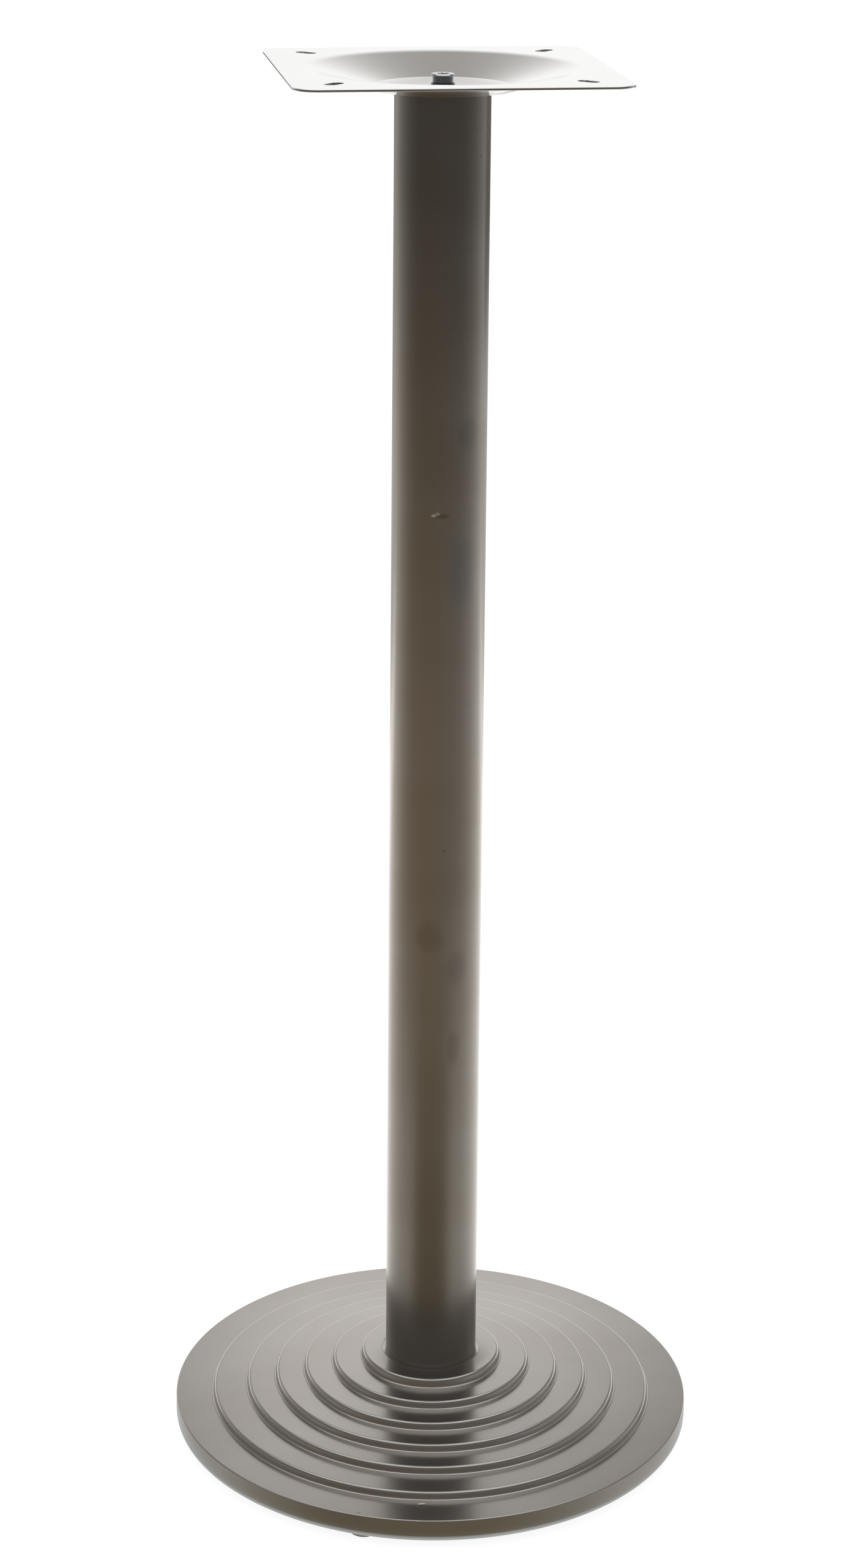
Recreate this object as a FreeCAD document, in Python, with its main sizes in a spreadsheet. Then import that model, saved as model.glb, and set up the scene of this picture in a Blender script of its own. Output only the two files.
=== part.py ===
import FreeCAD, Part
import math
import os
import re
import Sketcher

# Bar-height pedestal table base, in millimetres.
# The origin is the centre of the base on the floor, +Z runs up the column,
# and the edges of the square top plate lie along X and Y.

STEPS = 6
GLIDES = 5
SLOTS = 4
FULL_TURN = 360.0
QUARTER_TURN = 90.0
SLOT_DIRECTION = 45.0
CURL_PARTS = 3
NEAR = 0.01

# Driving dimensions: name, size, and what it measures
SIZES = (
    ("overall_height", 1105.0, "floor to the top face of the plate"),
    ("base_diameter", 414.0, "outside of the rim"),
    ("rim_depth", 18.7, "height of the rim's side"),
    ("rim_edge_bevel", 1.4, "eased top edge of the rim"),
    ("rim_curl_radius", 5.5, "outside of the rim's lower edge, where it turns under"),
    ("rim_lip_width", 0.6, "flat end of the turned edge"),
    ("outer_tread", 30.5, "width of the outermost terrace"),
    ("second_tread", 27.5, "width of the second terrace"),
    ("hub_diameter", 111.6, "outside of the cover's hub, and the inner terraces share what is left"),
    ("riser_height", 5.6, "height of each riser below the hub"),
    ("hub_riser_height", 6.5, "height of the riser round the hub"),
    ("nosing_bevel", 1.0, "eased top edge of a riser"),
    ("cover_thickness", 1.2, "sheet of the pressed cover"),
    ("cover_clearance", 0.3, "gap from the cover to the ballast at the rim"),
    ("ballast_thickness", 12.2, "cast disc inside the cover"),
    ("ballast_hub_gap", 4.6, "round the cast hub that carries the column, inside the cover's hub"),
    ("ballast_hub_bevel", 8.0, "sloping foot of the cast hub"),
    ("ballast_web_thickness", 14.0, "metal between the bolt's washer and the cover"),
    ("recess_diameter", 60.0, "recess for the bolt head, from below"),
    ("column_diameter", 73.0, "outside of the tube"),
    ("column_wall", 1.5, "wall of the tube"),
    ("end_disc_thickness", 15.0, "tapped discs welded into the tube's ends"),
    ("end_disc_clearance", 0.1, "gap round an end disc"),
    ("end_disc_chamfer", 1.0, "welded edge of an end disc"),
    ("bolt_diameter", 16.0, "bolt that holds the column to the base"),
    ("bolt_length", 40.0, "under the bolt's head"),
    ("bolt_head_flats", 24.0, "across the flats"),
    ("bolt_head_height", 10.0, "hexagon head"),
    ("bolt_hole_clearance", 0.75, "gap round the bolt in the casting and the cover"),
    ("bolt_washer_diameter", 34.0, "plain washer"),
    ("bolt_washer_thickness", 3.0, "plain washer"),
    ("bolt_spring_diameter", 27.4, "spring washer"),
    ("bolt_spring_thickness", 4.0, "spring washer"),
    ("thread_clearance", 0.1, "gap between a plain shank and its tapped hole"),
    ("plate_side", 250.0, "square top plate"),
    ("plate_thickness", 2.0, "sheet of the top plate"),
    ("plate_corner_radius", 18.0, "corners of the top plate"),
    ("dish_lip_radius", 103.5, "where the plate breaks down into the dish"),
    ("dish_floor_radius", 52.5, "where the dish meets its flat floor"),
    ("dish_depth", 14.5, "plate's top face to the dish's floor"),
    ("dish_lip_rounding", 30.0, "soft edge round the dish"),
    ("dish_border", 4.0, "flat ring outside the lip's rounding"),
    ("slot_circle_radius", 131.6, "centre of the plate to the middle of a slot"),
    ("slot_length", 18.0, "over its round ends"),
    ("slot_width", 9.0, "across a slot"),
    ("screw_diameter", 12.0, "screw that holds the plate to the column"),
    ("screw_length", 25.0, "under the screw's head"),
    ("screw_hole_clearance", 0.5, "gap round the screw in the plate"),
    ("screw_head_diameter", 18.0, "low cylindrical head"),
    ("screw_head_height", 7.0, "low cylindrical head"),
    ("screw_head_chamfer", 0.8, "top edge of the head"),
    ("screw_socket_flats", 8.0, "hexagon socket"),
    ("screw_socket_depth", 4.2, "hexagon socket"),
    ("screw_spring_diameter", 18.0, "spring washer under the head"),
    ("screw_spring_thickness", 2.5, "spring washer under the head"),
    ("spring_gap_width", 1.2, "split in a spring washer"),
    ("glide_inset", 20.2, "rim's side to the centre of a glide"),
    ("glide_start_angle", 30.0, "first glide, from +X"),
    ("glide_diameter", 25.4, "steel cup of a glide"),
    ("glide_height", 4.8, "floor to the underside of the base"),
    ("glide_cup_wall", 1.0, "steel of the cup"),
    ("glide_pad_height", 1.2, "pad that shows below the cup"),
    ("glide_pad_gap", 0.2, "gap round the pad inside the cup"),
    ("stud_diameter", 8.0, "threaded stud of a glide"),
    ("stud_length", 10.0, "stud inside the casting"),
    ("stud_hole_extra", 1.0, "the tapped hole goes this much deeper"),
)

# Heights and radii that several pieces share
RIM_TOP = "(glide_height + rim_depth)"
HUB_TOP = "(glide_height + rim_depth + %d * riser_height + hub_riser_height)" % (STEPS - 1)
HUB_UNDER = "(%s - cover_thickness)" % HUB_TOP
INNER_TREAD = "((base_diameter - hub_diameter) / 2 - outer_tread - second_tread) / %d" % (STEPS - 2)
WEB_UNDER = "(%s - ballast_web_thickness)" % HUB_UNDER
DISH_FLOOR = "(overall_height - dish_depth)"
DISH_UNDER = "(overall_height - dish_depth - plate_thickness)"
BOLT_HOLE_RADIUS = "(bolt_diameter / 2 + bolt_hole_clearance)"
SCREW_HOLE_RADIUS = "(screw_diameter / 2 + screw_hole_clearance)"
COLUMN_BORE_RADIUS = "(column_diameter / 2 - column_wall)"
GLIDE_CIRCLE_RADIUS = "(base_diameter / 2 - glide_inset)"

doc = FreeCAD.newDocument("pedestal_table_base")
sheet = doc.addObject("Spreadsheet::Sheet", "Sizes")


def fill_sheet():
    """Write each driving dimension into the sheet under its own name."""
    for row, (name, size, note) in enumerate(SIZES, start=1):
        sheet.set("A%d" % row, name)
        sheet.set("B%d" % row, str(size))
        sheet.set("C%d" % row, note)
        sheet.setAlias("B%d" % row, name)
    doc.recompute()


def sized(formula):
    """Point each size name in a formula at the sheet. Every size name has an underscore."""
    return re.sub(r"[a-z]+(?:_[a-z]+)+", lambda name: "Sizes." + name.group(0), formula)


def number(formula):
    """The present value of a formula, used to draw a point near its place."""
    result = sheet.evalExpression(sized(formula))
    return getattr(result, "Value", result)


# Bodies and sketches

def new_body(label, height="0"):
    """A body whose own frame stands at a height on the axis of the column."""
    body = doc.addObject("PartDesign::Body", label)
    body.Label = label
    body.setExpression("Placement.Base.z", sized(height))
    return body


def origin_part(body, role):
    """One of the body's own origin planes or axes."""
    for feature in body.Origin.OriginFeatures:
        if feature.Role == role:
            return feature
    raise ValueError("no origin feature " + role)


def new_sketch(body, plane, height="0", turn=0.0):
    """A sketch on an origin plane, lifted off it by a height and turned in it."""
    sketch = body.newObject("Sketcher::SketchObject", "Sketch")
    sketch.AttachmentSupport = [(origin_part(body, plane), "")]
    sketch.MapMode = "FlatFace"
    sketch.AttachmentOffset = FreeCAD.Placement(
        FreeCAD.Vector(0, 0, number(height)),
        FreeCAD.Rotation(FreeCAD.Vector(0, 0, 1), turn),
    )
    if height != "0":
        sketch.setExpression("AttachmentOffset.Base.z", sized(height))
    return sketch


def hold(sketch, kind, places, formula):
    """Add a dimension and bind it to the sheet."""
    constraint = Sketcher.Constraint(kind, *places, number(formula))
    index = sketch.addConstraint(constraint)
    if formula != "0":
        sketch.setExpression("Constraints[%d]" % index, sized(formula))


def draw_outline(sketch, corners):
    """A closed outline of straight edges. Each corner is a pair of formulas, across and up."""
    points = [FreeCAD.Vector(number(across), number(up), 0) for across, up in corners]
    count = len(points)
    for index in range(count):
        following = (index + 1) % count
        sketch.addGeometry(Part.LineSegment(points[index], points[following]), False)
    for index in range(count):
        following = (index + 1) % count
        sketch.addConstraint(Sketcher.Constraint("Coincident", index, 2, following, 1))
    for index, (across, up) in enumerate(corners):
        hold(sketch, "DistanceX", (-1, 1, index, 1), across)
        hold(sketch, "DistanceY", (-1, 1, index, 1), up)


def draw_circle(sketch, radius, across="0", up="0"):
    """A circle with its centre at a pair of formulas."""
    centre = FreeCAD.Vector(number(across), number(up), 0)
    circle = Part.Circle(centre, FreeCAD.Vector(0, 0, 1), number(radius))
    index = sketch.addGeometry(circle, False)
    hold(sketch, "DistanceX", (-1, 1, index, 3), across)
    hold(sketch, "DistanceY", (-1, 1, index, 3), up)
    hold(sketch, "Radius", (index,), radius)


def draw_hexagon(sketch, flats):
    """A regular hexagon with two corners on the horizontal axis."""
    corner = "%s / sqrt(3)" % flats
    half = "%s / (2 * sqrt(3))" % flats
    flat = "%s / 2" % flats
    draw_outline(sketch, [
        (corner, "0"),
        (half, flat),
        ("-" + half, flat),
        ("-" + corner, "0"),
        ("-" + half, "-" + flat),
        (half, "-" + flat),
    ])


def draw_slot(sketch, middle, length, width):
    """A slot with round ends, lying along the sketch's horizontal axis."""
    near = "%s - (%s - %s) / 2" % (middle, length, width)
    far = "%s + (%s - %s) / 2" % (middle, length, width)
    radius = "%s / 2" % width
    x_near, x_far, r = number(near), number(far), number(radius)
    up = FreeCAD.Vector(0, 0, 1)
    quarter = math.radians(QUARTER_TURN)
    near_circle = Part.Circle(FreeCAD.Vector(x_near, 0, 0), up, r)
    far_circle = Part.Circle(FreeCAD.Vector(x_far, 0, 0), up, r)
    top = Part.LineSegment(FreeCAD.Vector(x_near, r, 0), FreeCAD.Vector(x_far, r, 0))
    bottom = Part.LineSegment(FreeCAD.Vector(x_far, -r, 0), FreeCAD.Vector(x_near, -r, 0))
    sketch.addGeometry([
        top,
        Part.ArcOfCircle(far_circle, -quarter, quarter),
        bottom,
        Part.ArcOfCircle(near_circle, quarter, 3 * quarter),
    ], False)
    sketch.addConstraint([
        Sketcher.Constraint("Tangent", 0, 2, 1, 2),
        Sketcher.Constraint("Tangent", 1, 1, 2, 1),
        Sketcher.Constraint("Tangent", 2, 2, 3, 2),
        Sketcher.Constraint("Tangent", 3, 1, 0, 1),
        Sketcher.Constraint("PointOnObject", 1, 3, -1),
        Sketcher.Constraint("PointOnObject", 3, 3, -1),
    ])
    hold(sketch, "Radius", (1,), radius)
    hold(sketch, "DistanceX", (-1, 1, 3, 3), near)
    hold(sketch, "DistanceX", (-1, 1, 1, 3), far)


# Features

def pad(body, sketch, length):
    """Raise a sketch into a solid."""
    feature = body.newObject("PartDesign::Pad", "Pad")
    feature.Profile = sketch
    feature.setExpression("Length", sized(length))
    doc.recompute()
    return feature


def revolve(body, sketch):
    """Turn a section about the column's axis."""
    feature = body.newObject("PartDesign::Revolution", "Revolution")
    feature.Profile = sketch
    feature.ReferenceAxis = (sketch, ["V_Axis"])
    feature.Angle = FULL_TURN
    doc.recompute()
    return feature


def cut_down(body, sketch, depth, upwards=False):
    """Cut a sketch into the body, downwards or upwards, and check that it removed metal."""
    before = body.Tip.Shape.Volume
    feature = body.newObject("PartDesign::Pocket", "Pocket")
    feature.Profile = sketch
    feature.Reversed = upwards
    feature.setExpression("Length", sized(depth))
    doc.recompute()
    if feature.Shape.Volume >= before:
        raise ValueError("a pocket in %s cuts nothing" % body.Label)
    return feature


def repeat_round(body, feature, count):
    """Repeat a feature evenly about the axis."""
    pattern = body.newObject("PartDesign::PolarPattern", "PolarPattern")
    pattern.Originals = [feature]
    pattern.Axis = (feature.Profile[0], ["N_Axis"])
    pattern.Angle = FULL_TURN
    pattern.Occurrences = count
    body.Tip = pattern
    doc.recompute()
    return pattern


def ring_names(shape, rings):
    """Names of the circular edges at the given radii and heights."""
    names = []
    for radius, height in rings:
        r, z = number(radius), number(height)
        for index, edge in enumerate(shape.Edges, start=1):
            curve = edge.Curve
            if not isinstance(curve, Part.Circle):
                continue
            if abs(curve.Radius - r) < NEAR and abs(curve.Center.z - z) < NEAR:
                names.append("Edge%d" % index)
    if len(names) < len(rings):
        raise ValueError("an edge to be rounded is missing")
    return names


def dress(body, kind, names, size):
    """Round or chamfer the named edges of the body's last feature."""
    base = body.Tip
    feature = body.newObject("PartDesign::" + kind, kind)
    feature.Base = (base, names)
    feature.setExpression("Radius" if kind == "Fillet" else "Size", sized(size))
    doc.recompute()
    return feature


def round_rings(body, size, rings):
    """Round circular edges, each a pair of formulas for its radius and height."""
    return dress(body, "Fillet", ring_names(body.Tip.Shape, rings), size)


def chamfer_rings(body, size, rings):
    """Chamfer circular edges, each a pair of formulas for its radius and height."""
    return dress(body, "Chamfer", ring_names(body.Tip.Shape, rings), size)


# Stepped base

def step_radius(step):
    """Radius of a riser, counted inwards: 0 is the rim and the last one the hub."""
    if step == 0:
        return "base_diameter / 2"
    if step == 1:
        return "base_diameter / 2 - outer_tread"
    return "hub_diameter / 2 + %d * %s" % (STEPS - step, INNER_TREAD)


def step_top(step):
    """Height of the top edge of a riser."""
    if step == STEPS:
        return HUB_TOP
    return "%s + %d * riser_height" % (RIM_TOP, step)


def curl_corners(radius):
    """Corners round the rim's turned edge, from its side to its foot."""
    corners = []
    for part in range(CURL_PARTS + 1):
        angle = QUARTER_TURN * part / CURL_PARTS
        across = "base_diameter / 2 - rim_curl_radius + %s * cos(%s)" % (radius, angle)
        up = "glide_height + rim_curl_radius - %s * sin(%s)" % (radius, angle)
        corners.append((across, up))
    return corners


def cover_corners():
    """Section of the pressed cover: its outside from the hub to the lip, then its inside back."""
    lip = "base_diameter / 2 - rim_curl_radius - rim_lip_width"
    outside = [(BOLT_HOLE_RADIUS, HUB_TOP)]
    for step in range(STEPS, 0, -1):
        outside.append((step_radius(step), step_top(step)))
        outside.append((step_radius(step), step_top(step - 1)))
    outside.append((step_radius(0), step_top(0)))
    inside = [(across + " - cover_thickness", up + " - cover_thickness") for across, up in outside[:0:-1]]
    lip_end = [(lip, "glide_height"), (lip, "glide_height + cover_thickness")]
    inner_curl = curl_corners("(rim_curl_radius - cover_thickness)")
    return outside + curl_corners("rim_curl_radius") + lip_end + inner_curl[::-1] + inside + [
        (BOLT_HOLE_RADIUS, HUB_UNDER),
    ]


def build_base_cover():
    """Pressed stainless cover: six risers, and a rim whose lower edge turns under."""
    body = new_body("base_cover")
    section = new_sketch(body, "XZ_Plane")
    draw_outline(section, cover_corners())
    revolve(body, section)
    chamfer_rings(body, "rim_edge_bevel", [(step_radius(0), RIM_TOP)])
    nosings = [(step_radius(step), step_top(step)) for step in range(1, STEPS + 1)]
    chamfer_rings(body, "nosing_bevel", nosings)
    return body


def build_ballast():
    """Cast-iron disc with a hub, rebated at its edge for the cover's turned lip."""
    body = new_body("ballast_casting")
    edge = "(base_diameter / 2 - cover_thickness - cover_clearance)"
    rebate = "(base_diameter / 2 - rim_curl_radius - rim_lip_width - cover_clearance)"
    rebate_top = "(glide_height + cover_thickness + cover_clearance)"
    disc_top = "(glide_height + ballast_thickness)"
    hub = "(hub_diameter / 2 - cover_thickness - ballast_hub_gap)"
    section = new_sketch(body, "XZ_Plane")
    draw_outline(section, [
        (BOLT_HOLE_RADIUS, WEB_UNDER),
        ("recess_diameter / 2", WEB_UNDER),
        ("recess_diameter / 2", "glide_height"),
        (rebate, "glide_height"),
        (rebate, rebate_top),
        (edge, rebate_top),
        (edge, disc_top),
        (hub, disc_top),
        (hub, HUB_UNDER),
        (BOLT_HOLE_RADIUS, HUB_UNDER),
    ])
    revolve(body, section)
    chamfer_rings(body, "rim_curl_radius - cover_thickness - cover_clearance", [(edge, rebate_top)])
    chamfer_rings(body, "ballast_hub_bevel", [(hub, disc_top)])
    holes = new_sketch(body, "XY_Plane", "glide_height")
    across = "%s * cos(glide_start_angle)" % GLIDE_CIRCLE_RADIUS
    up = "%s * sin(glide_start_angle)" % GLIDE_CIRCLE_RADIUS
    draw_circle(holes, "stud_diameter / 2 + thread_clearance", across, up)
    hole = cut_down(body, holes, "stud_length + stud_hole_extra", upwards=True)
    repeat_round(body, hole, GLIDES)
    return body


# Column

def build_column_tube():
    """Round tube from the hub of the base to the underside of the dish."""
    body = new_body("column_tube", HUB_TOP)
    length = "%s - %s" % (DISH_UNDER, HUB_TOP)
    section = new_sketch(body, "XY_Plane")
    draw_circle(section, "column_diameter / 2")
    draw_circle(section, COLUMN_BORE_RADIUS)
    pad(body, section, length)
    return body


def build_end_disc(label, height, thread, welded_edge):
    """Tapped steel disc, welded flush into an end of the tube round one of its edges."""
    body = new_body(label, height)
    section = new_sketch(body, "XY_Plane")
    radius = "(%s - end_disc_clearance)" % COLUMN_BORE_RADIUS
    draw_circle(section, radius)
    draw_circle(section, "%s / 2 + thread_clearance" % thread)
    pad(body, section, "end_disc_thickness")
    chamfer_rings(body, "end_disc_chamfer", [(radius, welded_edge)])
    return body


# Top plate

def build_top_plate():
    """Square plate pressed into a shallow dish, with a slot towards each corner."""
    body = new_body("top_plate", "overall_height - plate_thickness")
    slope = "atan(dish_depth / (dish_lip_radius - dish_floor_radius))"
    shift = "plate_thickness * tan(%s / 2)" % slope
    border = "(dish_lip_radius + dish_lip_rounding * tan(%s / 2) + dish_border)" % slope
    floor_top = "plate_thickness - dish_depth"
    half = "plate_side / 2"

    square = new_sketch(body, "XY_Plane")
    draw_outline(square, [
        ("-" + half, "-" + half),
        (half, "-" + half),
        (half, half),
        ("-" + half, half),
    ])
    draw_circle(square, border)
    pad(body, square, "plate_thickness")
    upright = [
        "Edge%d" % index for index, line in enumerate(body.Tip.Shape.Edges, start=1)
        if isinstance(line.Curve, Part.Line) and abs(line.tangentAt(line.FirstParameter).z) > 1 - NEAR
    ]
    dress(body, "Fillet", upright, "plate_corner_radius")

    section = new_sketch(body, "XZ_Plane")
    draw_outline(section, [
        (border, "plate_thickness"),
        ("dish_lip_radius", "plate_thickness"),
        ("dish_floor_radius", floor_top),
        (SCREW_HOLE_RADIUS, floor_top),
        (SCREW_HOLE_RADIUS, "-dish_depth"),
        ("dish_floor_radius - " + shift, "-dish_depth"),
        ("dish_lip_radius - " + shift, "0"),
        (border, "0"),
    ])
    revolve(body, section)
    round_rings(body, "dish_lip_rounding", [("dish_lip_radius", "plate_thickness")])
    round_rings(body, "dish_lip_rounding - plate_thickness", [("dish_lip_radius - " + shift, "0")])

    slot_sketch = new_sketch(body, "XY_Plane", "plate_thickness", SLOT_DIRECTION)
    draw_slot(slot_sketch, "slot_circle_radius", "slot_length", "slot_width")
    slot = cut_down(body, slot_sketch, "plate_thickness")
    repeat_round(body, slot, SLOTS)
    return body


# Fasteners

def build_spring_washer(label, height, diameter, thickness, bore):
    """Split washer, its split on +X."""
    body = new_body(label, height)
    section = new_sketch(body, "XY_Plane")
    draw_circle(section, "%s / 2" % diameter)
    draw_circle(section, bore)
    pad(body, section, thickness)
    split = new_sketch(body, "XY_Plane", thickness)
    draw_outline(split, [
        ("0", "-spring_gap_width / 2"),
        ("%s / 2 + spring_gap_width" % diameter, "-spring_gap_width / 2"),
        ("%s / 2 + spring_gap_width" % diameter, "spring_gap_width / 2"),
        ("0", "spring_gap_width / 2"),
    ])
    cut_down(body, split, thickness)
    return body


def build_top_screw():
    """Low-head socket screw that clamps the plate to the column."""
    body = new_body("top_screw", "%s + screw_spring_thickness" % DISH_FLOOR)
    section = new_sketch(body, "XZ_Plane")
    draw_outline(section, [
        ("0", "-screw_length"),
        ("screw_diameter / 2", "-screw_length"),
        ("screw_diameter / 2", "0"),
        ("screw_head_diameter / 2", "0"),
        ("screw_head_diameter / 2", "screw_head_height"),
        ("0", "screw_head_height"),
    ])
    revolve(body, section)
    chamfer_rings(body, "screw_head_chamfer", [("screw_head_diameter / 2", "screw_head_height")])
    socket = new_sketch(body, "XY_Plane", "screw_head_height")
    draw_hexagon(socket, "screw_socket_flats")
    cut_down(body, socket, "screw_socket_depth")
    return body


def build_base_bolt():
    """Hexagon bolt up through the casting and the cover into the tube's lower disc."""
    under_head = "%s - bolt_washer_thickness - bolt_spring_thickness" % WEB_UNDER
    body = new_body("base_bolt", under_head)
    head = new_sketch(body, "XY_Plane", "-bolt_head_height")
    draw_hexagon(head, "bolt_head_flats")
    pad(body, head, "bolt_head_height")
    shank = new_sketch(body, "XY_Plane")
    draw_circle(shank, "bolt_diameter / 2")
    pad(body, shank, "bolt_length")
    return body


def build_bolt_washer():
    """Plain washer against the roof of the recess."""
    body = new_body("base_washer", "%s - bolt_washer_thickness" % WEB_UNDER)
    section = new_sketch(body, "XY_Plane")
    draw_circle(section, "bolt_washer_diameter / 2")
    draw_circle(section, BOLT_HOLE_RADIUS)
    pad(body, section, "bolt_washer_thickness")
    return body


# Glides

def place_glide(body, index):
    """Set a glide's piece on the circle of glides."""
    angle = "(glide_start_angle + %d * %s / %d)" % (index, FULL_TURN, GLIDES)
    body.setExpression("Placement.Base.x", sized("%s * cos(%s)" % (GLIDE_CIRCLE_RADIUS, angle)))
    body.setExpression("Placement.Base.y", sized("%s * sin(%s)" % (GLIDE_CIRCLE_RADIUS, angle)))


def build_glide_cup(index):
    """Steel cup with its stud, screwed home against the casting."""
    body = new_body("glide_cup_%d" % (index + 1))
    roof = "(glide_height - glide_cup_wall)"
    bore = "(glide_diameter / 2 - glide_cup_wall)"
    section = new_sketch(body, "XZ_Plane")
    draw_outline(section, [
        ("0", roof),
        (bore, roof),
        (bore, "glide_pad_height"),
        ("glide_diameter / 2", "glide_pad_height"),
        ("glide_diameter / 2", "glide_height"),
        ("stud_diameter / 2", "glide_height"),
        ("stud_diameter / 2", "glide_height + stud_length"),
        ("0", "glide_height + stud_length"),
    ])
    revolve(body, section)
    place_glide(body, index)
    return body


def build_glide_pad(index):
    """Rubber disc held in the cup, which stands out below it."""
    body = new_body("glide_pad_%d" % (index + 1))
    section = new_sketch(body, "XY_Plane")
    draw_circle(section, "glide_diameter / 2 - glide_cup_wall - glide_pad_gap")
    pad(body, section, "glide_height - glide_cup_wall")
    place_glide(body, index)
    return body


def build_all():
    """Every piece of the base, from the floor up."""
    bodies = []
    for index in range(GLIDES):
        bodies.append(build_glide_cup(index))
        bodies.append(build_glide_pad(index))
    bodies.append(build_base_cover())
    bodies.append(build_ballast())
    bodies.append(build_base_bolt())
    spring_height = "%s - bolt_washer_thickness - bolt_spring_thickness" % WEB_UNDER
    bodies.append(build_spring_washer("base_spring_washer", spring_height, "bolt_spring_diameter",
                                      "bolt_spring_thickness", BOLT_HOLE_RADIUS))
    bodies.append(build_bolt_washer())
    bodies.append(build_column_tube())
    bodies.append(build_end_disc("column_lower_disc", HUB_TOP, "bolt_diameter", "0"))
    bodies.append(build_end_disc("column_upper_disc", DISH_UNDER + " - end_disc_thickness", "screw_diameter",
                                 "end_disc_thickness"))
    bodies.append(build_top_plate())
    bodies.append(build_top_screw())
    bodies.append(build_spring_washer("top_spring_washer", DISH_FLOOR, "screw_spring_diameter",
                                      "screw_spring_thickness", SCREW_HOLE_RADIUS))
    return bodies


def check_document():
    """Stop if any object of the document failed to build."""
    for item in doc.Objects:
        if "Invalid" in item.State or "Error" in item.State:
            raise ValueError("%s did not build" % item.Label)


def check_body(body):
    """Stop if a piece is missing, broken or not one solid."""
    shape = body.Shape
    if shape.isNull() or not shape.isValid():
        raise ValueError("%s has no sound shape" % body.Label)
    if len(shape.Solids) != 1:
        raise ValueError("%s is not one solid" % body.Label)


fill_sheet()
pieces = build_all()
doc.recompute()
check_document()
for piece in pieces:
    check_body(piece)
os.makedirs("parts", exist_ok=True)
for piece in pieces:
    piece.Shape.exportStep("parts/%s.step" % piece.Label)
    print(piece.Label, round(piece.Shape.Volume, 1))
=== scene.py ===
import math

import bmesh
import bpy
from mathutils import Matrix, Vector


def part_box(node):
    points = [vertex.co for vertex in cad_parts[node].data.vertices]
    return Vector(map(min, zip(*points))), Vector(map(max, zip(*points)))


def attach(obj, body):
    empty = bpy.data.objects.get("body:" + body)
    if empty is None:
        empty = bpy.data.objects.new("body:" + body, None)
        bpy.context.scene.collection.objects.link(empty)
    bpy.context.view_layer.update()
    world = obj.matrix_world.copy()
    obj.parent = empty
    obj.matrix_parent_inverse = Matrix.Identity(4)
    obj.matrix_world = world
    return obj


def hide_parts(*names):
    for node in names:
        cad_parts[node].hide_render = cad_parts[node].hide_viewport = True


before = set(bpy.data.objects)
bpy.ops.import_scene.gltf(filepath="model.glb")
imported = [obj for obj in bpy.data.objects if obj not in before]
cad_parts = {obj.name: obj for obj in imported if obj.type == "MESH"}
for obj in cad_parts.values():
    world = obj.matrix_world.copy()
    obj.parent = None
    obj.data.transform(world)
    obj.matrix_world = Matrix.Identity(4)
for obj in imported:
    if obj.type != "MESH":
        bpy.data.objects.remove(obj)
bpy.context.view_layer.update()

MM = 0.001

# Camera, fitted to the photograph's edges
CAMERA_PLACE = (-376.4 * MM, -2522.0 * MM, 1423.9 * MM)
CAMERA_YAW = math.radians(8.243)
CAMERA_PITCH = math.radians(12.829)
CAMERA_ROLL = math.radians(-0.504)
CAMERA_LENS = 78.49
CAMERA_SHIFT = -0.24

# Pressed cover, with its treads counted from the rim inwards
STEPS = 6
OUTER_TREAD = 30.5 * MM
SECOND_TREAD = 27.5 * MM
INNER_TREAD = 23.3 * MM
RISER_HEIGHT = 5.6 * MM
RISER_DRAFT = 0.8 * MM
NOSING_RADIUS = 2.2 * MM
FOLD_RADIUS = 1.3 * MM
RIM_DEPTH = 18.7 * MM
RIM_EDGE_RADIUS = 1.0 * MM
RIM_CURL_RADIUS = 5.5 * MM
RIM_LIP_WIDTH = 0.6 * MM
COVER_THICKNESS = 1.2 * MM
BOLT_HOLE_RADIUS = 8.75 * MM

# Fine bead on the cover, round the foot of the column
BEAD_RADIUS = 39.4 * MM
BEAD_WIDTH = 1.6 * MM
BEAD_HEIGHT = 0.15 * MM

# Tube
COLUMN_WALL = 1.5 * MM
COLUMN_EDGE_RADIUS = 0.4 * MM

# Plate, with a narrow level strip inside its eased edge that keeps its flat looking flat
PLATE_THICKNESS = 2.0 * MM
PLATE_CORNER_RADIUS = 18.0 * MM
PLATE_EDGE_RADIUS = 0.45 * MM
PLATE_STRIP_WIDTH = 0.4 * MM
DISH_LIP_RADIUS = 103.5 * MM
DISH_LIP_ROUNDING = 34.0 * MM
DISH_FLOOR_RADIUS = 52.5 * MM
DISH_FLOOR_ROUNDING = 9.0 * MM
DISH_END_RADIUS = 112.0 * MM
SCREW_HOLE_RADIUS = 6.5 * MM
SLOTS = 4
SLOT_CIRCLE_RADIUS = 131.6 * MM
SLOT_LENGTH = 18.0 * MM
SLOT_WIDTH = 9.0 * MM

# Top screw
SCREW_SHANK_RADIUS = 6.0 * MM
SCREW_TIP_ROUNDING = 0.4 * MM
SCREW_HEAD_HEIGHT = 7.0 * MM
SCREW_HEAD_CHAMFER = 0.8 * MM
SCREW_HEAD_ROUNDING = 0.25 * MM
SCREW_FLANGE_HEIGHT = 1.5 * MM
SCREW_FLANGE_ROUNDING = 0.2 * MM
SCREW_NECK_INSET = 1.2 * MM
SCREW_NECK_ROUNDING = 0.3 * MM
SOCKET_FLATS = 8.0 * MM
SOCKET_CORNER_RADIUS = SOCKET_FLATS / math.sqrt(3)
SOCKET_DEPTH = 4.2 * MM
SOCKET_CHAMFER = 0.5 * MM

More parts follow.
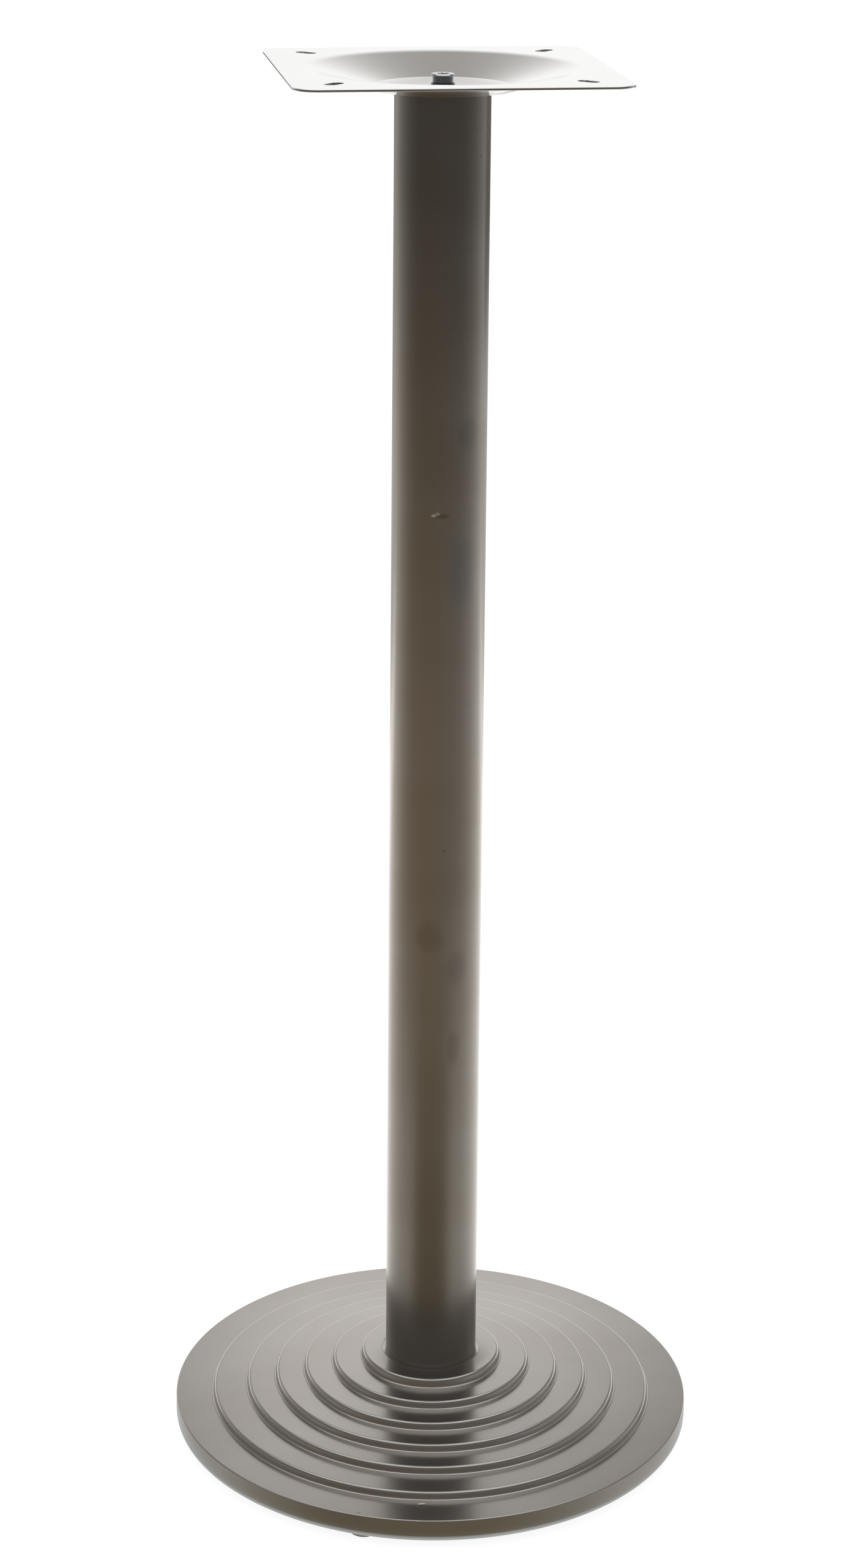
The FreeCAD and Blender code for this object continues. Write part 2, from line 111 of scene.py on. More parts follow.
# Glides
GLIDES = 5
GLIDE_CUP_WALL = 1.0 * MM
GLIDE_CUP_ROUNDING = 0.8 * MM
GLIDE_LIP_INNER_ROUNDING = 0.2 * MM
GLIDE_LIP_OUTER_ROUNDING = 0.3 * MM
GLIDE_PAD_ROUNDING = 0.3 * MM
STUD_RADIUS = 4.0 * MM
STUD_TIP_ROUNDING = 0.5 * MM

# How finely round shapes are cut, how near two points are one, and from what angle an edge is sharp
ROUND_PARTS = 240
SMALL_ROUND_PARTS = 96
ARC_PARTS = 6
SMALL_ARC_PARTS = 3
COARSE_ARC_PARTS = 2
CORNER_PARTS = 12
SLOT_END_PARTS = 12
PLATE_EDGE_PARTS = 3
SUPPORT = 0.12 * MM
SAME_POINT = 0.001 * MM
SAME_RADIUS = 0.01 * MM
SHARP_ANGLE = math.radians(35)
SCREW_SHARP_ANGLE = math.radians(25)

# Noise: the range that most of its values lie in, and how much fine detail it has
NOISE_RANGE = (0.3, 0.7)
NOISE_DETAIL = 2.0
CLOUD_DETAIL = 3.0
CASTING_DETAIL = 4.0
SCREEN_GAMMA = 2.2

# Marks of use, and on the base one painted glint: place on the object in mm, half size in mm, colour on
# screen from 0 to 255, strength, and how metallic it stays
COLUMN_MARKS = (
    ((-6.2, -36.0, 768.6), (2.8, 2.8, 1.5), (168, 156, 150), 0.8, 0.3),
    ((-9.2, -35.3, 767.3), (2.8, 2.8, 1.5), (178, 166, 160), 0.9, 0.3),
    ((-2.5, -36.4, 766.8), (7.0, 7.0, 3.0), (128, 116, 104), 0.7, 1.0),
    ((17.5, -32.0, 830.0), (12.0, 12.0, 18.0), (140, 137, 133), 0.6, 1.0),
    ((13.0, -34.0, 721.7), (16.0, 16.0, 44.0), (140, 142, 145), 0.6, 1.0),
    ((-9.8, -35.2, 427.1), (16.0, 16.0, 19.0), (142, 134, 124), 0.6, 1.0),
    ((12.4, -34.3, 400.1), (12.0, 12.0, 19.0), (142, 137, 130), 0.6, 1.0),
    ((10.6, -34.9, 333.6), (8.0, 8.0, 20.0), (140, 134, 126), 0.6, 1.0),
    ((1.4, -36.5, 497.9), (1.2, 1.2, 1.0), (96, 90, 84), 0.8, 1.0),
    ((25.2, -26.4, 1041.0), (1.2, 1.2, 1.0), (96, 90, 84), 0.8, 1.0),
)
BASE_MARKS_AND_GLINT = (
    # A bright cream fleck with no metal in it: a painted glint
    ((-32.6, -179.6, 23.5), (4.2, 1.3, 1.6), (255, 246, 226), 1.0, 0.0),
    ((-32.6, -181.4, 23.5), (3.4, 0.8, 1.2), (120, 92, 66), 0.8, 1.0),
    ((-48.4, -171.4, 25.5), (3.2, 0.8, 1.2), (40, 40, 42), 0.9, 1.0),
    ((34.0, -171.9, 25.5), (2.4, 0.8, 1.2), (40, 40, 42), 0.9, 1.0),
    ((-82.2, -186.4, 23.5), (2.4, 0.9, 1.2), (92, 90, 88), 0.7, 1.0),
    ((-40.0, -203.5, 23.5), (2.8, 1.0, 1.2), (240, 242, 244), 0.7, 0.3),
)

# Where a mark starts and where it covers fully, in half sizes from its middle
MARK_FADE = (1.0, 0.3)

# Painted shade on the underside of the plate round the column: a darker tone where shade falls
UNDERSIDE_SHADE_TINT = (132, 127, 120)
UNDERSIDE_SHADE_FADE = (82.0 * MM, 66.0 * MM)
UNDERSIDE_SHADE_LOOKS_DOWN = (0.0, 0.3)

# Finish of the top screw: two tones of black and of the bright metal on its flange
SCREW_BLACK = ((132, 136, 140), (150, 152, 156))
SCREW_BRIGHT = ((196, 200, 200), (224, 226, 226))
SCREW_CLOUD = (300.0, 300.0, 300.0)
SCREW_GRAIN = (900.0, 900.0, 900.0)
SCREW_ROUGH = (0.14, 0.24)
SCREW_TONE_EDGE = 0.1 * MM

# Studio that the metal reflects, in metres and linear colours. A pair says where a change starts and ends
WHITE = (1.0, 1.0, 1.0, 1.0)
STUDIO_TURN = CAMERA_YAW + math.radians(4.0)

# Room: its pairs are upward shares of a direction, from 0 at the horizon to 1 overhead
WALL_POWER = 4.0
BACKDROP = (1.0, 1.0, 1.0, 1.0)
HORIZON = (0.06, 0.055, 0.05, 1.0)
HORIZON_RISE = (0.03, 0.13)
ROOM_LOW = (0.26, 0.245, 0.225, 1.0)
ROOM_HIGH = (0.15, 0.155, 0.165, 1.0)
ROOM_RISE = (0.20, 0.44)
HEADER = (0.31, 0.295, 0.28, 1.0)
HEADER_RISE = (0.15, 0.73)
CEILING = (0.94, 0.95, 0.96, 1.0)
CEILING_RISE = (0.72, 0.84)

# Board behind the object, from its foot up. Its head starts lower towards the right, by its lean
BOARD_BACK = 1.2
BOARD_HALF = 1.6
BOARD_TOP = 0.98
BOARD_LOWER = (1.5, 1.49, 1.48, 1.0)
BOARD_FOOT = (0.08, 0.30)
BOARD_BELT = (0.74, 0.73, 0.72, 1.0)
BOARD_RISE = (0.42, 0.74)
BOARD_MIDDLE = (1.25, 1.24, 1.23, 1.0)
BOARD_FADE = (0.10, 0.36)
BOARD_SIDE = (0.50, 0.49, 0.48, 1.0)
BOARD_HEAD = (0.75, 0.88)
BOARD_LEAN = 0.2
BOARD_UPPER = (0.19, 0.185, 0.18, 1.0)

# Floor: the white paper under the object, and what the metal sees of it. Its fades are distances from the
# axis, its turns are shares of the way to the back or to the right, and its power is how quickly the white
# sweep at the back gives way to the front
FLOOR_REACH = 16.0
PAPER = (0.26, 0.265, 0.27, 1.0)
PAPER_GLOW = (0.91, 0.91, 0.91, 1.0)
GLARE = (0.66, 0.73, 0.75, 1.0)
GLARE_FADE = (0.227, 0.207)
# Floor that the metal sees just in front of the object, darker still: a painted contact shadow
FLOOR_FRONT_SHADOW = (0.16, 0.135, 0.085, 1.0)
FLOOR_BESIDE = (0.45, 0.435, 0.41, 1.0)
FLOOR_BESIDE_TURN = (0.0, 0.25)
FLOOR_NEAR_SHADOW_FADE = (0.1, 1.3)
FLOOR_LEFT = (0.28, 0.225, 0.16, 1.0)
FLOOR_RIGHT = (0.28, 0.255, 0.225, 1.0)
FLOOR_RIGHT_TURN = (0.35, 0.95)
FLOOR_FAR = (0.03, 0.028, 0.027, 1.0)
FLOOR_FAR_FADE = (1.0, 7.0)
SWEEP_POWER = 2.4
SWEEP_NEAR = (1.5, 1.5, 1.5, 1.0)
SWEEP_FAR = (0.65, 0.65, 0.65, 1.0)


# Outlines

def arc_corner(before, corner, after, radius, parts, support):
    """Points that round one corner of an outline, with one more beside each end of the arc."""
    corner = Vector(corner)
    back = (Vector(before) - corner).normalized()
    ahead = (Vector(after) - corner).normalized()
    opening = back.angle(ahead)
    reach = radius / math.tan(opening / 2)
    centre = corner + (back + ahead).normalized() * radius / math.sin(opening / 2)
    start = corner + back * reach
    end = corner + ahead * reach
    sweep = math.pi - opening
    side = 1 if (start - centre).cross(end - centre) > 0 else -1
    points = []
    for part in range(parts + 1):
        turn = Matrix.Rotation(side * sweep * part / parts, 2)
        points.append(centre + turn @ (start - centre))
    if support:
        points = [start + back * support] + points + [end + ahead * support]
    return points


def rounded(corners, parts=ARC_PARTS, support=SUPPORT, closed=True):
    """An outline from corners, each an (across, up, radius)."""
    points = []
    count = len(corners)
    for index, (across, up, radius) in enumerate(corners):
        at_end = not closed and index in (0, count - 1)
        if radius <= 0 or at_end:
            points.append(Vector((across, up)))
            continue
        before = corners[index - 1][:2]
        after = corners[(index + 1) % count][:2]
        points += arc_corner(before, (across, up), after, radius, parts, support)
    return points


# Meshes

def new_piece(name, mesh):
    """An object in the scene from a finished mesh."""
    piece = bpy.data.objects.new(name, mesh)
    bpy.context.scene.collection.objects.link(piece)
    return piece


def shade_smooth(mesh, sharp_angle=SHARP_ANGLE):
    """Smooth shading that keeps real edges sharp."""
    mesh.polygons.foreach_set("use_smooth", [True] * len(mesh.polygons))
    mesh.set_sharp_from_angle(angle=sharp_angle)


def mesh_of(name, form):
    """A smoothly shaded mesh from a finished form."""
    bmesh.ops.recalc_face_normals(form, faces=form.faces)
    mesh = bpy.data.meshes.new(name)
    form.to_mesh(mesh)
    form.free()
    shade_smooth(mesh)
    return mesh


def add_wall(form, upper, lower):
    """Faces between two rings of as many vertices."""
    for index in range(len(upper)):
        following = (index + 1) % len(upper)
        form.faces.new((upper[index], upper[following], lower[following], lower[index]))


def turned_rings(form, profile, parts, centre=(0.0, 0.0)):
    """A ring of vertices about an upright axis for each (radius, height) point of a profile."""
    rings = []
    for across, up in profile:
        ring = []
        for part in range(parts):
            angle = math.tau * part / parts
            x = centre[0] + across * math.cos(angle)
            y = centre[1] + across * math.sin(angle)
            ring.append(form.verts.new((x, y, up)))
        rings.append(ring)
    return rings


def lathe(name, outline, parts, centre=(0.0, 0.0)):
    """Turn a closed outline of (radius, height) points about an upright axis."""
    form = bmesh.new()
    rings = turned_rings(form, outline, parts, centre)
    for ring, following in zip(rings, rings[1:] + rings[:1]):
        add_wall(form, ring, following)
    bmesh.ops.remove_doubles(form, verts=form.verts, dist=SAME_POINT)
    return new_piece(name, mesh_of(name, form))


# Base cover

def cover_radius(step, rim_radius):
    """Radius of a riser, counted inwards: 0 is the rim and the last one the hub."""
    if step == 0:
        return rim_radius
    if step == 1:
        return rim_radius - OUTER_TREAD
    return rim_radius - OUTER_TREAD - SECOND_TREAD - (step - 2) * INNER_TREAD


def cover_top(step, foot, hub_top):
    """Height of the top edge of a riser."""
    if step == STEPS:
        return hub_top
    return foot + RIM_DEPTH + step * RISER_HEIGHT


def cover_terraces(rim_radius, foot, hub_top):
    """Corners of the risers from the hub outwards, and of the rim's upper edge."""
    corners = []
    for step in range(STEPS, 0, -1):
        radius = cover_radius(step, rim_radius)
        corners.append((radius - RISER_DRAFT, cover_top(step, foot, hub_top), NOSING_RADIUS))
        corners.append((radius + RISER_DRAFT, cover_top(step - 1, foot, hub_top), FOLD_RADIUS))
    corners.append((rim_radius, foot + RIM_DEPTH, RIM_EDGE_RADIUS))
    return corners


def cover_outside(terraces, rim_radius, foot, hub_top):
    """Corners of the cover's outer face, from the bolt's hole over the bead and the terraces to the lip."""
    corners = [
        (BOLT_HOLE_RADIUS, hub_top, 0.0),
        (BEAD_RADIUS - BEAD_WIDTH / 2, hub_top, 0.0),
        (BEAD_RADIUS, hub_top + BEAD_HEIGHT, BEAD_WIDTH / 2),
        (BEAD_RADIUS + BEAD_WIDTH / 2, hub_top, 0.0),
    ]
    corners += terraces
    corners.append((rim_radius, foot, RIM_CURL_RADIUS))
    corners.append((rim_radius - RIM_CURL_RADIUS - RIM_LIP_WIDTH, foot, 0.0))
    return corners


def cover_inside(terraces, rim_radius, foot, hub_top):
    """Corners of the cover's inner face, from the lip back to the bolt's hole."""
    inner_foot = foot + COVER_THICKNESS
    corners = [
        (rim_radius - RIM_CURL_RADIUS - RIM_LIP_WIDTH, inner_foot, 0.0),
        (rim_radius - COVER_THICKNESS, inner_foot, RIM_CURL_RADIUS - COVER_THICKNESS),
    ]
    for across, up, radius in reversed(terraces):
        corners.append((across - COVER_THICKNESS, up - COVER_THICKNESS, 0.0))
    corners.append((BOLT_HOLE_RADIUS, hub_top - COVER_THICKNESS, 0.0))
    return corners


def make_base_cover():
    """The pressed cover with rounded nosings, folds and rim, and the bead round the column's foot."""
    low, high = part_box("base_cover")
    rim_radius = high.x
    foot = low.z
    hub_top = high.z
    terraces = cover_terraces(rim_radius, foot, hub_top)
    outside = cover_outside(terraces, rim_radius, foot, hub_top)
    inside = cover_inside(terraces, rim_radius, foot, hub_top)
    outline = rounded(outside, closed=False)
    outline += rounded(inside, COARSE_ARC_PARTS, support=0.0, closed=False)
    piece = lathe("cover_pressing", outline, ROUND_PARTS)
    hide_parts("base_cover")
    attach(piece, "root")
    return piece


# Column

def make_column():
    """The tube, with its upper edge eased."""
    low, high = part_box("column_tube")
    radius = high.x
    bore = radius - COLUMN_WALL
    outline = rounded([
        (bore, low.z, 0.0),
        (radius, low.z, 0.0),
        (radius, high.z, COLUMN_EDGE_RADIUS),
        (bore, high.z, 0.0),
    ])
    piece = lathe("column_skin", outline, ROUND_PARTS)
    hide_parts("column_tube")
    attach(piece, "root")
    return piece


# Top plate

def dish_profile(top, floor_top, thickness):
    """Upper or lower face of the dish, from the screw's hole out to the flat border."""
    slope = math.atan2(top - floor_top, DISH_LIP_RADIUS - DISH_FLOOR_RADIUS)
    shift = thickness * math.tan(slope / 2)
    return rounded([
        (SCREW_HOLE_RADIUS, floor_top - thickness, 0.0),
        (DISH_FLOOR_RADIUS - shift, floor_top - thickness, DISH_FLOOR_ROUNDING + thickness),
        (DISH_LIP_RADIUS - shift, top - thickness, DISH_LIP_ROUNDING - thickness),
        (DISH_END_RADIUS, top - thickness, 0.0),
    ], closed=False)


def plate_outline(half, inset):
    """The plate's square outline with its rounded corners, drawn in by an inset."""
    reach = half - inset
    radius = PLATE_CORNER_RADIUS - inset
    corners = [(x * reach, y * reach, radius) for x, y in ((1, 1), (-1, 1), (-1, -1), (1, -1))]
    return rounded(corners, CORNER_PARTS, support=0.0)


def slot_outline(direction):
    """A slot with round ends that lies along a direction from the plate's centre."""
    reach = (SLOT_LENGTH - SLOT_WIDTH) / 2
    points = []
    for end in (1, -1):
        for part in range(SLOT_END_PARTS + 1):
            angle = math.pi * (part / SLOT_END_PARTS - end / 2)
            across = SLOT_CIRCLE_RADIUS + end * reach + SLOT_WIDTH / 2 * math.cos(angle)
            beside = SLOT_WIDTH / 2 * math.sin(angle)
            points.append(Matrix.Rotation(direction, 2) @ Vector((across, beside)))
    return points


def plate_edge(top):
    """(inset, height) of each ring round the plate's eased edge, from the upper face down."""
    quarter = []
    for part in range(1, PLATE_EDGE_PARTS + 1):
        turn = math.pi / 2 * part / PLATE_EDGE_PARTS
        quarter.append((PLATE_EDGE_RADIUS * (1 - math.sin(turn)), PLATE_EDGE_RADIUS * (1 - math.cos(turn))))
    upper = [(inset, top - drop) for inset, drop in quarter]
    lower = [(inset, top - PLATE_THICKNESS + drop) for inset, drop in reversed(quarter)]
    return upper + lower


def add_ring(form, points, height):
    """A closed ring of vertices at one height."""
    return [form.verts.new((point[0], point[1], height)) for point in points]


def ring_edges(form, ring):
    """The edges round a ring, made where there are none yet."""
    edges = []
    for vertex, following in zip(ring, ring[1:] + ring[:1]):
        edge = form.edges.get((vertex, following))
        edges.append(edge or form.edges.new((vertex, following)))
    return edges


def add_plate_face(form, profile, half, height):
    """One face of the plate. Gives the rings round its screw hole, its border and its slots."""
    rings = turned_rings(form, profile, ROUND_PARTS)
    for inner, outer in zip(rings, rings[1:]):
        add_wall(form, inner, outer)
    edges = ring_edges(form, rings[-1])
    flat = add_ring(form, plate_outline(half, PLATE_EDGE_RADIUS + PLATE_STRIP_WIDTH), height)
    edges += ring_edges(form, flat)
    border = add_ring(form, plate_outline(half, PLATE_EDGE_RADIUS), height)
    add_wall(form, flat, border)
    slots = []
    for index in range(SLOTS):
        slot = add_ring(form, slot_outline(math.tau * (index + 0.5) / SLOTS), height)
        slots.append(slot)
        edges += ring_edges(form, slot)
    bmesh.ops.triangle_fill(form, use_beauty=True, use_dissolve=False, edges=edges)
    return rings[0], border, slots


def make_top_plate():
    """The dished plate with its slots and eased edges."""
    low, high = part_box("top_plate")
    half = high.x
    top = high.z
    floor_top = low.z + PLATE_THICKNESS
    form = bmesh.new()
    upper = dish_profile(top, floor_top, 0.0)
    upper_hole, upper_border, upper_slots = add_plate_face(form, upper, half, top)
    lower = dish_profile(top, floor_top, PLATE_THICKNESS)
    lower_hole, lower_border, lower_slots = add_plate_face(form, lower, half, top - PLATE_THICKNESS)
    add_wall(form, upper_hole, lower_hole)
    for slot, under in zip(upper_slots, lower_slots):
        add_wall(form, slot, under)
    previous = upper_border
    for inset, height in plate_edge(top):
        ring = add_ring(form, plate_outline(half, inset), height)
        add_wall(form, previous, ring)
        previous = ring
    add_wall(form, previous, lower_border)
    piece = new_piece("plate_pressing", mesh_of("plate_pressing", form))
    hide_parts("top_plate")
    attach(piece, "root")
    return piece


# Top screw

def screw_outline(radius, foot, top):
    """Section of the screw: its shank, neck, flange and chamfered head, and its socket as a round."""
    head_foot = top - SCREW_HEAD_HEIGHT
    flange_foot = top - SCREW_FLANGE_HEIGHT
    neck = radius - SCREW_NECK_INSET
    return rounded([
        (0.0, foot, 0.0),
        (SCREW_SHANK_RADIUS, foot, SCREW_TIP_ROUNDING),
        (SCREW_SHANK_RADIUS, head_foot, 0.0),
        (neck, head_foot, SCREW_NECK_ROUNDING),
        (neck, flange_foot, SCREW_NECK_ROUNDING),
        (radius, flange_foot, SCREW_FLANGE_ROUNDING),
        (radius, top - SCREW_HEAD_CHAMFER, SCREW_HEAD_ROUNDING),
        (radius - SCREW_HEAD_CHAMFER, top, SCREW_HEAD_ROUNDING),
        (SOCKET_CORNER_RADIUS + SOCKET_CHAMFER, top, 0.0),
        (SOCKET_CORNER_RADIUS, top - SOCKET_CHAMFER, 0.0),
        (SOCKET_CORNER_RADIUS, top - SOCKET_DEPTH, 0.0),
        (0.0, top - SOCKET_DEPTH, 0.0),
    ], SMALL_ARC_PARTS, support=0.0)


def shape_socket(mesh):
    """Draw the round wall of the screw's socket in to a hexagon."""
    form = bmesh.new()
    form.from_mesh(mesh)
    for vertex in form.verts:
        if abs(vertex.co.xy.length - SOCKET_CORNER_RADIUS) > SAME_RADIUS:
            continue
        angle = math.atan2(vertex.co.y, vertex.co.x)
        from_flat = angle % (math.pi / 3) - math.pi / 6
        across = SOCKET_FLATS / 2 / math.cos(from_flat)
        vertex.co.x = across * math.cos(angle)
        vertex.co.y = across * math.sin(angle)
    form.to_mesh(mesh)
    form.free()


def make_top_screw():
    """Low-head socket screw: a turned body whose head takes a hexagon socket."""
    low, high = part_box("top_screw")
    piece = lathe("screw_turning", screw_outline(high.x, low.z, high.z), SMALL_ROUND_PARTS)
    shape_socket(piece.data)
    shade_smooth(piece.data, SCREW_SHARP_ANGLE)
    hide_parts("top_screw")
    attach(piece, "root")
    return piece


# Glides

def glide_cup_outline(radius, foot, roof, stud_top):
    """Section of a glide's steel cup, with its stud."""
    inner = radius - GLIDE_CUP_WALL
    shoulder = roof + GLIDE_CUP_WALL
    return rounded([
        (0.0, roof, 0.0),
        (inner, roof, 0.0),
        (inner, foot, GLIDE_LIP_INNER_ROUNDING),
        (radius, foot, GLIDE_LIP_OUTER_ROUNDING),
        (radius, shoulder, GLIDE_CUP_ROUNDING),
        (STUD_RADIUS, shoulder, 0.0),
        (STUD_RADIUS, stud_top, STUD_TIP_ROUNDING),
        (0.0, stud_top, 0.0),
    ], SMALL_ARC_PARTS, support=0.0)


def glide_pad_outline(radius, foot, roof):
    """Section of a glide's rubber disc."""
    return rounded([
        (0.0, foot, 0.0),
        (radius, foot, GLIDE_PAD_ROUNDING),
        (radius, roof, 0.0),
        (0.0, roof, 0.0),
    ], SMALL_ARC_PARTS, support=0.0)


def make_glide(index):
    """One glide: a steel cup with its stud, and the rubber disc in it."""
    cup_node = "glide_cup_%d" % index
    pad_node = "glide_pad_%d" % index
    low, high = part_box(cup_node)
    pad_low, pad_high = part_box(pad_node)
    place = ((low.x + high.x) / 2, (low.y + high.y) / 2)
    cup_radius = (high.x - low.x) / 2
    pad_radius = (pad_high.x - pad_low.x) / 2
    roof = pad_high.z
    cup_outline = glide_cup_outline(cup_radius, low.z, roof, high.z)
    cup = lathe("glide_shell_%d" % index, cup_outline, SMALL_ROUND_PARTS, place)
    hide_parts(cup_node)
    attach(cup, "root")
    pad_outline = glide_pad_outline(pad_radius, pad_low.z, roof)
    disc = lathe("glide_disc_%d" % index, pad_outline, SMALL_ROUND_PARTS, place)
    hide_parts(pad_node)
    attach(disc, "root")
    return cup, disc


# Nodes

def feed(tree, socket, value):
    """Link a socket to another node's output, or give it a fixed value."""
    if isinstance(value, bpy.types.NodeSocket):
        tree.links.new(value, socket)
    else:
        socket.default_value = value


def maths(tree, operation, *values):
    """A calculation with numbers."""
    node = tree.nodes.new("ShaderNodeMath")
    node.operation = operation
    for socket, value in zip(node.inputs, values):
        feed(tree, socket, value)
    return node.outputs["Value"]


def vector_maths(tree, operation, *vectors, output="Vector"):
    """A calculation with vectors, and the output that it is wanted for."""
    node = tree.nodes.new("ShaderNodeVectorMath")
    node.operation = operation
    for socket, vector in zip(node.inputs, vectors):
        feed(tree, socket, vector)
    return node.outputs[output]


def length_of(tree, vector):
    """The length of a vector."""
    return vector_maths(tree, "LENGTH", vector, output="Value")


def along(tree, vector, direction):
    """How far a vector reaches along a direction."""
    return vector_maths(tree, "DOT_PRODUCT", vector, direction, output="Value")


def level_part(tree, vector):
    """A vector without its height."""
    return vector_maths(tree, "MULTIPLY", vector, (1.0, 1.0, 0.0))


def height_of(tree, vector):
    """The height of a place, or the upward part of a direction."""
    split = tree.nodes.new("ShaderNodeSeparateXYZ")
    feed(tree, split.inputs["Vector"], vector)
    return split.outputs["Z"]


def object_place(tree):
    """The place on the object, in metres."""
    return tree.nodes.new("ShaderNodeTexCoord").outputs["Object"]


def ease(tree, value, start, end):
    """A smooth step from 0 at the start to 1 at the end."""
    node = tree.nodes.new("ShaderNodeMapRange")
    node.interpolation_type = "SMOOTHSTEP"
    node.inputs["From Min"].default_value = start
    node.inputs["From Max"].default_value = end
    feed(tree, node.inputs["Value"], value)
    return node.outputs["Result"]


def tint(tree, value, first, second):
    """A colour between two, by a value from 0 to 1."""
    mix = tree.nodes.new("ShaderNodeMix")
    mix.data_type = "RGBA"
    colours = [socket for socket in mix.inputs if socket.type == "RGBA"]
    feed(tree, colours[0], first)
    feed(tree, colours[1], second)
    feed(tree, mix.inputs["Factor"], value)
    return [socket for socket in mix.outputs if socket.type == "RGBA"][0]


def linear(screen_colour):
    """A screen colour from 0 to 255 as a colour for a shader."""
    return tuple((channel / 255) ** SCREEN_GAMMA for channel in screen_colour) + (1.0,)


def grey(value):
    """A grey colour of one value."""
    return (value, value, value, 1.0)


# Materials

def bare_material(name):
    """A material with only its output."""
    material = bpy.data.materials.new(name)
    material.use_nodes = True
    tree = material.node_tree
    tree.nodes.clear()
    output = tree.nodes.new("ShaderNodeOutputMaterial")
    return material, tree, output


def new_material(name):
    """A material with its shader and its output."""
    material, tree, output = bare_material(name)
    shader = tree.nodes.new("ShaderNodeBsdfPrincipled")
    tree.links.new(shader.outputs["BSDF"], output.inputs["Surface"])
    return material, tree, shader


def streaks(tree, scale, detail=NOISE_DETAIL):
    """Noise with its own scale along each axis, in waves per metre of the object."""
    stretch = tree.nodes.new("ShaderNodeMapping")
    stretch.inputs["Scale"].default_value = scale
    noise = tree.nodes.new("ShaderNodeTexNoise")
    noise.inputs["Scale"].default_value = 1.0
    noise.inputs["Detail"].default_value = detail
    tree.links.new(object_place(tree), stretch.inputs["Vector"])
    tree.links.new(stretch.outputs["Vector"], noise.inputs["Vector"])
    return noise.outputs["Fac"]


def spread(tree, noise, low=0.0, high=1.0):
    """Map a noise value onto a range."""
    remap = tree.nodes.new("ShaderNodeMapRange")
    remap.inputs["From Min"].default_value = NOISE_RANGE[0]
    remap.inputs["From Max"].default_value = NOISE_RANGE[1]
    remap.inputs["To Min"].default_value = low
    remap.inputs["To Max"].default_value = high
    tree.links.new(noise, remap.inputs["Value"])
    return remap.outputs["Result"]


def two_tones(tree, noise, dark, pale):
    """Two screen colours, mixed by a noise value."""
    return tint(tree, spread(tree, noise), linear(dark), linear(pale))


def relief(tree, shader, noise, depth):
    """Fine relief from a noise value."""
    bump = tree.nodes.new("ShaderNodeBump")
    bump.inputs["Strength"].default_value = 1.0
    bump.inputs["Distance"].default_value = depth
    tree.links.new(noise, bump.inputs["Height"])
    tree.links.new(bump.outputs["Normal"], shader.inputs["Normal"])


def polish(tree, shader, grain, rough, depth=0.0):
    """Fine grain: a range of roughness, and fine relief where the metal has some."""
    fine = streaks(tree, grain)
    tree.links.new(spread(tree, fine, *rough), shader.inputs["Roughness"])
    if depth:
        relief(tree, shader, fine, depth)


def mark_cover(tree, place, size, strength):
    """How far one soft-edged mark covers the surface."""
    away = vector_maths(tree, "SUBTRACT", object_place(tree), tuple(value * MM for value in place))
    share = vector_maths(tree, "DIVIDE", away, tuple(value * MM for value in size))
    return maths(tree, "MULTIPLY", ease(tree, length_of(tree, share), *MARK_FADE), strength)


def marked(tree, colour, marks):
    """A metal's colour with its marks of use and any painted glint, and how metallic they leave it, as a
    grey.
    """
    metal = grey(1.0)
    for place, size, tone, strength, metallic in marks:
        cover = mark_cover(tree, place, size, strength)
        colour = tint(tree, cover, colour, linear(tone))
        if metallic < 1.0:
            metal = tint(tree, cover, metal, grey(metallic))
    return colour, metal


def underside_shade_cover(tree):
    """How far the painted shade covers the surface: faces that look down, round the upright axis."""
    here = tree.nodes.new("ShaderNodeTexCoord")
    reach = length_of(tree, level_part(tree, here.outputs["Object"]))
    down = along(tree, here.outputs["Normal"], (0.0, 0.0, -1.0))
    return maths(tree, "MULTIPLY", ease(tree, reach, *UNDERSIDE_SHADE_FADE), ease(tree, down, *UNDERSIDE_SHADE_LOOKS_DOWN))


def brushed_metal(name, dark, pale, cloud, grain, rough, depth=0.0, marks=(), shaded_underside=False):
    """Brushed metal: two tones in broad clouds, a fine grain of polish, its marks of use and painted
    glints, and painted shade on its underside where asked.
    """
    material, tree, shader = new_material(name)
    colour = two_tones(tree, streaks(tree, cloud, CLOUD_DETAIL), dark, pale)
    # Painted shade: a darker tone on the faces that look down, round the column
    if shaded_underside:
        colour = tint(tree, underside_shade_cover(tree), colour, linear(UNDERSIDE_SHADE_TINT))
    colour, metal = marked(tree, colour, marks)
    tree.links.new(colour, shader.inputs["Base Color"])
    shader.inputs["Metallic"].default_value = 1.0
    if isinstance(metal, bpy.types.NodeSocket):
        tree.links.new(metal, shader.inputs["Metallic"])
    polish(tree, shader, grain, rough, depth)
    return material


def blackened_screw(name, edge_height):
    """A screw blackened all over, with bright metal on the flange above a height."""
    material, tree, shader = new_material(name)
    broad = streaks(tree, SCREW_CLOUD)
    black = two_tones(tree, broad, *SCREW_BLACK)
    bright = two_tones(tree, broad, *SCREW_BRIGHT)
    height = height_of(tree, object_place(tree))
    # Bright above this height, on the flange and head, and black below it
    bright_above = ease(tree, height, edge_height - SCREW_TONE_EDGE, edge_height + SCREW_TONE_EDGE)
    tree.links.new(tint(tree, bright_above, black, bright), shader.inputs["Base Color"])
    shader.inputs["Metallic"].default_value = 1.0
    polish(tree, shader, SCREW_GRAIN, SCREW_ROUGH)
    return material


def matt_surface(name, dark, pale, grain, rough, depth, detail=NOISE_DETAIL):
    """A surface that isn't metal, with one grain for its two tones, its roughness and its relief."""
    material, tree, shader = new_material(name)
    noise = streaks(tree, grain, detail)
    tree.links.new(two_tones(tree, noise, dark, pale), shader.inputs["Base Color"])
    tree.links.new(spread(tree, noise, *rough), shader.inputs["Roughness"])
    relief(tree, shader, noise, depth)
    return material


def dress(piece, material):
    """Give a piece one material all over."""
    piece.data.materials.clear()
    piece.data.materials.append(material)


# Studio

